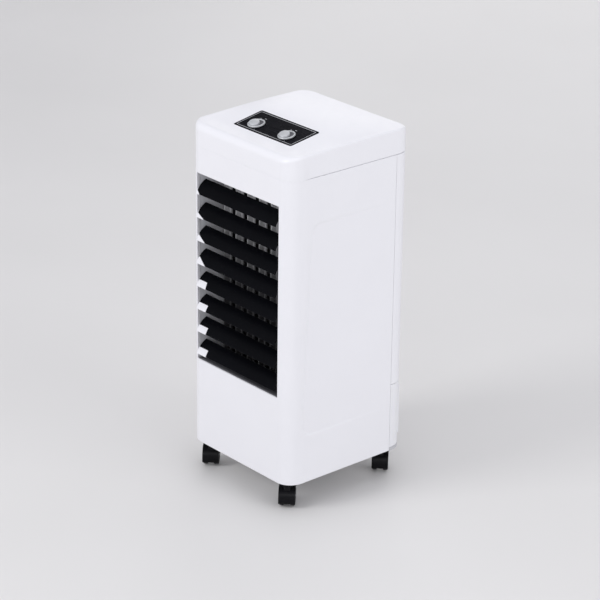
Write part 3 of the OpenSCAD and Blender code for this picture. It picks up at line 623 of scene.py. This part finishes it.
def knob(name, node, x, body):
    """A silver knob: a rimmed dish, with a domed grip that leaves a crescent on one side, its floor
    dark as painted shade.
    """
    place = ON_DECK @ Matrix.Translation((x, KNOB_V, 0))
    profile = [(0.01, -16), (2.6, -16), (3, -15.6), (3, 0.8), (14.5, 0.8), (14.9, 1.1), (15, 1.6),
               (15, 2.4), (14.8, 3.1), (14.3, 3.6), (13.7, 3.8), (13.1, 3.65), (12.8, 3.3),
               (12.7, 2.6), (12.4, 2.3), (0.01, 2.3)]
    verts, faces = revolve(profile, KNOB_STEPS, place)
    dish = mesh_piece(name, verts, faces, "knob_silver", body, 45)
    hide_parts(node)

    # the grip: the dish's circle, cut back by a second circle on one side
    side = math.radians(GRIP_SIDE)
    out = Vector((math.cos(side), math.sin(side), 0))
    middle = -2.6 * out

    def reach(ray, centre, r):
        d = middle - centre
        b = d.dot(ray)
        return -b + math.sqrt(max(0, b * b - d.dot(d) + r * r))

    edge = []
    for k in range(KNOB_STEPS):
        a = 2 * math.pi * k / KNOB_STEPS
        ray = Vector((math.cos(a), math.sin(a), 0))
        both = reach(ray, Vector((0, 0, 0)), 12.5) ** -8 + reach(ray, -7.4 * out, 13.4) ** -8
        edge.append(ray * both ** -0.125)
    rings = [(1.0, 2.2), (0.995, 4.6), (0.985, 5.2), (0.955, 5.7), (0.90, 6.1), (0.80, 6.5),
             (0.66, 6.85), (0.50, 7.12), (0.34, 7.28), (0.17, 7.37)]
    verts = [place @ (middle + e * k + Vector((0, 0, h))) for k, h in rings for e in edge]
    faces = grid_faces(len(rings), KNOB_STEPS) + [tuple(range(KNOB_STEPS - 1, -1, -1))]
    last = (len(rings) - 1) * KNOB_STEPS
    verts.append(place @ (middle + Vector((0, 0, 7.4))))
    faces += [(last + i, last + (i + 1) % KNOB_STEPS, len(verts) - 1) for i in range(KNOB_STEPS)]
    mesh_piece(name + "_grip", verts, faces, "knob_silver", body, 45)

    # the crescent floor between grip and rim, coloured dark as painted shade, and a pointer line on
    # the rim
    floor = [(0.01, 1.9), (12.35, 1.9), (12.35, 2.45), (0.01, 2.45)]
    verts, faces = revolve(floor, KNOB_STEPS, place)
    mesh_piece(name + "_floor", verts, faces, "switch_grey", body, 45)
    mark = place @ Matrix.Rotation(math.radians(90), 4, "Z")
    foot = ((12.9, -0.35, 3.3), (14.6, -0.35, 3.0), (14.6, 0.35, 3.0), (12.9, 0.35, 3.3))
    head = ((12.9, -0.35, 4.0), (14.4, -0.35, 3.77), (14.4, 0.35, 3.77), (12.9, 0.35, 4.0))
    bar = [mark @ Vector(v) for v in foot + head]
    mesh_piece(name + "_pointer", bar, BOX_FACES, "switch_grey", body, 30)


knob("speed_knob_top", "speed_knob", -KNOB_X, "speed_knob")
knob("mode_knob_top", "mode_knob", KNOB_X, "mode_knob")


# ---------------------------------------------------------------- louvres

BLADE_FRONT_Y, BLADE_X0, BLADE_LOWEST_Z, BLADE_PITCH = -134, -109, 220, 41.8
ARC_Y, ARC_UP, ARC_R, BLADE_T = 35.5, -14.5, 38.35, 2.0
TAB_FROM, TAB_TO, TAB_PROUD = 158.6, 140.2, 0.4
# Each clip's width in millimetres, and how much it narrows towards its top
TABS = ((9, 1.9), (20, 1.6), (23, 1.15), (23, 0.95), (24, 0.1), (24, 0.0), (24, 0.0), (24, 0.0))


def louvre_end_tab(i, width, slant):
    """A pale clip over the lower left corner of a blade."""
    steps, columns = 12, 8
    low_z = BLADE_LOWEST_Z + (len(TABS) - i) * BLADE_PITCH
    verts = []
    for r in (ARC_R + TAB_PROUD, ARC_R - BLADE_T - TAB_PROUD):
        for k in range(steps + 1):
            t = k / steps
            a = math.radians(TAB_FROM - t * (TAB_FROM - TAB_TO))
            reach = width * max(0.04, min(1, 1 - slant * (t - 0.05)))
            y = BLADE_FRONT_Y + ARC_Y + r * math.cos(a)
            z = low_z + ARC_UP + r * math.sin(a)
            verts += [(BLADE_X0 - 0.1 + reach * c / columns, y, z) for c in range(columns + 1)]
    faces = slab_faces(steps, columns)
    mesh_piece(f"louvre_tab_{i}", verts, faces, "white_shell", f"louvre_{i}", 35)


for i, (width, slant) in enumerate(TABS, 1):
    louvre_end_tab(i, width, slant)


def outlet_trim():
    """A thin dark plate on the duct floor under the lowest blade, as painted shade on the sill, and
    the grooved pale jamb at the left.
    """
    # the sill plate: painted shade, standing in for the shaded floor of the outlet
    profile = [(-129.5, 209.05), (-90.5, 209.05), (-90.5, 209.5), (-126.0, 209.5),
               (-126.6, 210.1), (-127.6, 210.1), (-128.2, 209.5), (-129.5, 209.5)]
    verts = [(x, y, z) for x in (-109.9, 101.9) for y, z in profile]
    mesh_piece("outlet_sill", verts, capped_faces(2, len(profile)), "switch_grey", "cabinet", 30)

    front, rear, back_x, face_x, groove_x = -131.4, -124.8, -110, -109.45, -109.8
    outline = [(back_x, front)]
    y = front
    while y < rear - 0.8:
        outline += [(face_x, y + 0.1), (face_x, y + 1.1), (groove_x, y + 1.25), (groove_x, y + 1.5)]
        y += 1.6
    outline += [(face_x, y + 0.1), (face_x, rear), (back_x, rear)]
    outline = [p for p in outline if p[1] <= rear]
    jamb = prism("jamb_liner", outline, 209.6, 548.9)
    smooth_by_angle(jamb, 30)
    given(jamb, "white_shell", "cabinet")


outlet_trim()


# ---------------------------------------------------------------- casters

CASTER_R, CASTER_TRAIL, CASTER_TURN, WHEEL_GAP, WHEEL_W = 17.5, 7, 45, 5.4, 8.2
WHEEL_STEPS, SPOKES = 96, 5
CASTERS = {"fl": (-103, -108), "fr": (103, -108), "rl": (-103, 106), "rr": (103, 106)}


def caster_wheels(tag):
    """Twin wheels: a grooved tread, a dished face with a hub cap and a rim step."""
    verts, faces = [], []
    half = WHEEL_W / 2
    tread = arc(CASTER_R - 1.6, half - 1.6, 1.6, 90, 0, 5)
    for x in (half - 2.5, half - 4.9):
        tread += [(CASTER_R, x + 0.35), (CASTER_R - 0.35, x), (CASTER_R, x - 0.35)]
    tread += arc(CASTER_R - 1.6, -half + 1.6, 1.6, 0, -90, 5)
    face = [(2.05, half - 1.2), (2.6, half - 0.1), (5.2, half), (5.6, half - 0.5),
            (5.9, half - 1.5), (11.8, half - 1.1), (12.6, half - 0.4), (13.2, half)]
    profile = face + tread + [(13.2, -half), (5.0, -half + 0.2), (2.05, -half)]
    x, y = CASTERS[tag]
    swivel = Matrix.Translation((x, y, 0)) @ Matrix.Rotation(math.radians(CASTER_TURN), 4, "Z")
    for side in (-1, 1):
        place = (swivel @ Matrix.Translation((side * (WHEEL_GAP + half), CASTER_TRAIL, CASTER_R))
                 @ Matrix.Rotation(math.radians(90 * side), 4, "Y"))
        base = len(verts)
        verts += turned(profile, WHEEL_STEPS, place)
        last = base + (len(profile) - 1) * WHEEL_STEPS
        faces += shifted(grid_faces(len(profile), WHEEL_STEPS), base)
        faces += [(last + k, last + (k + 1) % WHEEL_STEPS, base + (k + 1) % WHEEL_STEPS, base + k)
                  for k in range(WHEEL_STEPS)]
        # raised ribs on the dished face, so the wheel is seen to turn
        foot = ((5.5, -0.7, half - 1.9), (12.2, -0.7, half - 1.6),
                (12.2, 0.7, half - 1.6), (5.5, 0.7, half - 1.9))
        head = ((5.5, -0.5, half - 0.7), (12.2, -0.5, half - 0.5),
                (12.2, 0.5, half - 0.5), (5.5, 0.5, half - 0.7))
        for spoke in range(SPOKES):
            turn = place @ Matrix.Rotation(math.radians(360 / SPOKES * spoke), 4, "Z")
            faces += shifted(BOX_FACES, len(verts))
            verts += [turn @ Vector(v) for v in foot + head]
    wheels = mesh_piece(f"wheels_{tag}_turned", verts, faces, "caster_tread", f"wheels_{tag}", 35)
    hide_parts(f"caster_wheels_{tag}")


for tag in CASTERS:
    caster_wheels(tag)
    soften(f"caster_hood_{tag}", 0.5, 3)


# ---------------------------------------------------------------- front shell

SKIRT_Z, SPLIT_Y, WALL = 51.6, 98.5, 2.6
OUTLET_X0, OUTLET_X1, OUTLET_Z0, OUTLET_Z1 = -110, 102, 209, 549
RECESS_DEPTH, RECESS_BORDER, RECESS_REAR, RECESS_RUN = 1.2, 2.2, 88, 190
SIDE_COLUMNS, FRONT_COLUMNS, CORNER_COLUMNS, SHELL_ROWS = 130, 40, 18, 300


def recess_outline():
    """The side recess in Y and Z: a long panel with round front corners."""
    return (arc(-82, 158, 21, 270, 183, 10) + arc(-66, 494, 22, 176, 90, 10)
            + [(RECESS_REAR, 516), (RECESS_REAR, 137)])


def inside_distance(outline, points):
    """How far each point lies inside an outline, and 0 outside it."""
    best = np.full(len(points), 1e9)
    odd = np.zeros(len(points), bool)
    for (ax, ay), (bx, by) in zip(outline, outline[1:] + outline[:1]):
        edge = np.array((bx - ax, by - ay))
        rel = points - (ax, ay)
        t = np.clip(rel @ edge / max(1e-9, edge @ edge), 0, 1)
        best = np.minimum(best, np.hypot(*(rel - t[:, None] * edge).T))
        if ay != by:
            crosses = (ay > points[:, 1]) != (by > points[:, 1])
            odd ^= crosses & (points[:, 0] < (bx - ax) * (points[:, 1] - ay) / (by - ay) + ax)
    return np.where(odd, best, 0)


def front_shell():
    """The casing in one fine mesh: round edges, the outlet opening and the sunk side panels."""
    x, front = HALF_W - CORNER_R, FRONT_Y + CORNER_R
    step = 90 / CORNER_COLUMNS

    def corner(cx, start):
        points = arc(cx, front, CORNER_R, start, start - 90, CORNER_COLUMNS)
        return [(px, py, start - step * i) for i, (px, py) in enumerate(points)]

    columns = [(HALF_W, SPLIT_Y + (front - SPLIT_Y) * i / SIDE_COLUMNS, 0)
               for i in range(SIDE_COLUMNS)]
    columns += corner(x, 360)
    columns += [(x - 2 * x * i / FRONT_COLUMNS, FRONT_Y, 270) for i in range(1, FRONT_COLUMNS)]
    columns += corner(-x, 270)
    columns += [(-HALF_W, front + (SPLIT_Y - front) * i / SIDE_COLUMNS, 180)
                for i in range(1, SIDE_COLUMNS + 1)]
    top = SEAM_Z - 0.6
    rows = [(0.55, SKIRT_Z), (0.18, SKIRT_Z + 0.15), (0.0, SKIRT_Z + 0.6)]
    rows += [(0.0, SKIRT_Z + 0.6 + (top - SKIRT_Z - 1.1) * i / SHELL_ROWS)
             for i in range(1, SHELL_ROWS)]
    rows += [(0.0, top - 0.5), (0.12, top - 0.15), (0.4, top)]
    count = len(columns)
    grid = np.array([(c[1], z) for _, z in rows for c in columns])
    deep = inside_distance(recess_outline(), grid).reshape(len(rows), count)
    verts = []
    for r, (edge, z) in enumerate(rows):
        for c, s in enumerate(columns):
            sink = edge * (side_part(s[1]) if z > SEAM_Z - 2 else 1)
            if s[2] in (0, 180):
                border = min(1, deep[r, c] / RECESS_BORDER)
                fade = max(0, RECESS_REAR - s[1]) / RECESS_RUN
                sink += (border * border * (3 - 2 * border)) * RECESS_DEPTH * fade
            verts.append((*inset(s, sink), z))
    faces = grid_faces(len(rows), count, closed=False)
    base = len(verts)
    verts += [(*inset(s, WALL), z) for z in (SKIRT_Z, top) for s in columns]
    faces += shifted(grid_faces(2, count, closed=False), base)
    for outer, inner in ((0, base), ((len(rows) - 1) * count, base + count)):
        faces += [(outer + i, outer + i + 1, inner + i + 1, inner + i) for i in range(count - 1)]
    for c in (0, count - 1):
        faces.append(tuple(r * count + c for r in range(len(rows))) + (base + count + c, base + c))
    shell = mesh_piece("casing_front", verts, faces, "white_shell", "cabinet", 40)
    opening = rounded_outline(OUTLET_X0, OUTLET_X1, OUTLET_Z0, OUTLET_Z1, 0.8, 3)
    cut(shell, prism("cutter", opening, -FRONT_Y - 12, -FRONT_Y + 8, QUARTER_X))
    smooth_by_angle(shell, 40)
    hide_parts("front_shell")


front_shell()


PRINT_LOW, PRINT_HIGH = 0.2, 0.42
# Marks round each knob: angle, radius, width and height
MARKS = ((142, 21.5, 2.0, 1.0), (119, 22, 2.2, 1.1), (95, 22.5, 4.2, 1.2),
         (-52, 18.5, 2.6, 0.7), (-68, 18.5, 3.4, 0.7))


def panel_print():
    """Border line, scale ticks and short marks, a hair above the control plate."""
    def raised(*outlines):
        return [ON_DECK @ Vector((x, y, h)) for outline in outlines
                for h in (PRINT_LOW, PRINT_HIGH) for x, y in outline]

    half_w, half_d = PLATE_W / 2, PLATE_D / 2
    outer, inner = (rounded_outline(by - half_w, half_w - by, by - half_d, half_d - by, r)
                    for by, r in ((3.8, 2), (4.7, 1.6)))
    verts = raised(outer, inner)
    n = len(outer)
    faces = []
    for i in range(n):
        j = (i + 1) % n
        faces += [(a + i, a + j, b + j, b + i)
                  for a, b in ((0, n), (3 * n, 2 * n), (n, 3 * n), (2 * n, 0))]
    for x in (-KNOB_X, KNOB_X):
        for angle, r, wide, high in MARKS:
            a = math.radians(angle)
            cx, cy = x + r * math.cos(a), KNOB_V + r * math.sin(a)
            faces += shifted(capped_faces(2, 4), len(verts))
            verts += raised([(cx + u * wide / 2, cy + v * high / 2)
                             for u, v in ((-1, -1), (1, -1), (1, 1), (-1, 1))])
    marks = mesh_piece("panel_marks", verts, faces, "print_silver", "cabinet", 30)
    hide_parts("panel_print")


panel_print()


# ---------------------------------------------------------------- wet pad

SHEETS, SHEET_T, FLUTE_PITCH, FLUTE_LEAN = 30, 0.32, 14, 0.55


def wet_pad():
    """Corrugated sheets glued crest to crest, their flutes slanted one way and then the other."""
    lo, hi = [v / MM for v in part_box("cooling_pad")]
    gap, height, depth = (hi.x - lo.x) / SHEETS, hi.z - lo.z, hi.y - lo.y
    rows, columns = 100, 5
    verts, faces = [], []
    for s in range(SHEETS):
        x = lo.x + gap * (s + 0.5)
        lean = FLUTE_LEAN if s % 2 else -FLUTE_LEAN
        faces += slab_faces(rows, columns, len(verts))
        for side in (-SHEET_T / 2, SHEET_T / 2):
            for r in range(rows + 1):
                for c in range(columns + 1):
                    along = depth * c / columns
                    z = height * r / rows
                    wave = math.sin(2 * math.pi * (z + lean * along) / FLUTE_PITCH)
                    verts.append((x + side + wave * (gap / 2 - 0.2), lo.y + along, lo.z + z))
    pad = mesh_piece("wet_pad", verts, faces, "pad_paper", "pad_cassette", 60)
    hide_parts("cooling_pad")


wet_pad()


# ---------------------------------------------------------------- screws and soft edges

# Each screw: X, Y, Z, the turn that points its head outwards, and the length of its shank
SCREWS = ((-SCREW_X, REAR_Y - 1.4, SCREW_Z, -90, 5.5), (SCREW_X, REAR_Y - 1.4, SCREW_Z, -90, 5.5),
          (-70, -121, 53.6, 180, 15), (70, -121, 53.6, 180, 15))


def case_screws():
    """Pan-head screws with cross recesses."""
    verts, faces, places = [], [], []
    for x, y, z, turn, length in SCREWS:
        profile = [(0.01, -length), (1.3, -length), (1.55, -length + 0.6), (1.55, 0), (3.3, 0),
                   (3.35, 0.35), (3.0, 0.85), (2.3, 1.15), (1.4, 1.28), (0.01, 1.3)]
        places.append(Matrix.Translation((x, y, z)) @ Matrix.Rotation(math.radians(turn), 4, "X"))
        points, quads = revolve(profile, 40, places[-1])
        faces += shifted(quads, len(verts))
        verts += points
    screws = mesh_piece("screws", verts, faces, "steel", "cabinet", 40)
    slot = [(-1.9, -0.35), (1.9, -0.35), (1.9, 0.35), (-1.9, 0.35)]
    for place in places:
        for turn in (20, 110):
            cross = place @ Matrix.Rotation(math.radians(turn), 4, "Z")
            cut(screws, prism("cutter", slot, 0.35, 3, cross))
    smooth_by_angle(screws, 40)
    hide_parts("case_screws")


case_screws()


def softened_cad():
    """Small radii on the edges that a mould would leave round."""
    for i in range(1, 9):
        soften(f"louvre_blade_{i}", 0.35)
    for name in ("control_plate", "drain_plug", "terminal_box", "swing_motor", "cord_gland",
                 "rotary_switches", "louvre_link"):
        soften(name, 0.3)


softened_cad()


# ---------------------------------------------------------------- stage, lights and camera

AZIMUTH = 49.08
ELEVATION = 22.63
ROLL = 0.69
DISTANCE = 4.265
LOOK_AT = Vector((0, 0, 0.3184))
SENSOR_W = 36
FOCAL_PER_WIDTH = 2495 / 600
SHIFT_X = 0.0036
FLOOR_HALF_W, FLOOR_DROP = 9.0, 0.0002


def stage_floor():
    """A pale floor that curves up into a backdrop far behind."""
    profile = [(-9.0, 0.0), (4.0, 0.0)] + arc(4.0, 1.6, 1.6, -90, 0, 16) + [(5.6, 7.0)]
    turn = Matrix.Rotation(math.radians(AZIMUTH), 4, "Z")
    verts = [turn @ Vector((side, along, z - FLOOR_DROP))
             for along, z in profile for side in (-FLOOR_HALF_W, FLOOR_HALF_W)]
    faces = [(2 * i, 2 * i + 1, 2 * i + 3, 2 * i + 2) for i in range(len(profile) - 1)]
    mesh = bpy.data.meshes.new("floor")
    mesh.from_pydata(verts, [], faces)
    mesh.polygons.foreach_set("use_smooth", [True] * len(faces))
    mat, bsdf = shader("studio_floor", 0.55, specular=0.3)
    cloud = object_noise(mat, 1.2, 3)
    link(mat, mixed(mat, mapped(mat, cloud, 0, 1), (0.70, 0.69, 0.68), (0.73, 0.72, 0.71)),
         bsdf.inputs["Base Color"])
    mesh.materials.append(mat)
    linked("floor", mesh)


def area_light(name, place, aim_z, size, power):
    """A square white light that points at the cabinet's middle line."""
    light = bpy.data.lights.new(name, "AREA")
    light.shape = "RECTANGLE"
    light.size = light.size_y = size
    light.energy = power
    obj = linked(name, light)
    obj.location = place
    ray = Vector((0, 0, aim_z)) - Vector(place)
    obj.rotation_euler = ray.to_track_quat("-Z", "Y").to_euler()


def photo_camera():
    """The camera at the photo's angle, distance and framing."""
    data = bpy.data.cameras.new("camera")
    data.sensor_width = SENSOR_W
    data.lens = SENSOR_W * FOCAL_PER_WIDTH
    data.shift_x = SHIFT_X
    data.dof.use_dof = False
    cam = linked("camera", data)
    a, e = math.radians(AZIMUTH), math.radians(ELEVATION)
    back = Vector((math.sin(a) * math.cos(e), -math.cos(a) * math.cos(e), math.sin(e)))
    cam.location = LOOK_AT + back * DISTANCE
    level = (-back).to_track_quat("-Z", "Y").to_matrix().to_4x4()
    rolled = level @ Matrix.Rotation(math.radians(ROLL), 4, "Z")
    cam.rotation_euler = rolled.to_euler()
    bpy.context.scene.camera = cam


def studio():
    """Even, slightly cool surroundings and five large soft lights."""
    world = bpy.data.worlds.new("studio")
    world.use_nodes = True
    background = world.node_tree.nodes["Background"]
    background.inputs["Color"].default_value = (0.93, 0.94, 1.0, 1)
    background.inputs["Strength"].default_value = 0.78
    bpy.context.scene.world = world
    bpy.context.scene.view_settings.view_transform = "Standard"
    area_light("key", (-0.9, -3.3, 2.4), 0.35, 1.3, 48)
    area_light("fill", (2.4, -2.7, 1.7), 0.35, 1.2, 9)
    area_light("side", (3.6, 0.6, 1.3), 0.35, 2.4, 33)
    area_light("top", (0.2, 0.3, 3.4), 0.6, 2.6, 8)
    area_light("back", (-2.2, 3.0, 1.6), 0.4, 2.4, 17)


stage_floor()
photo_camera()
studio()
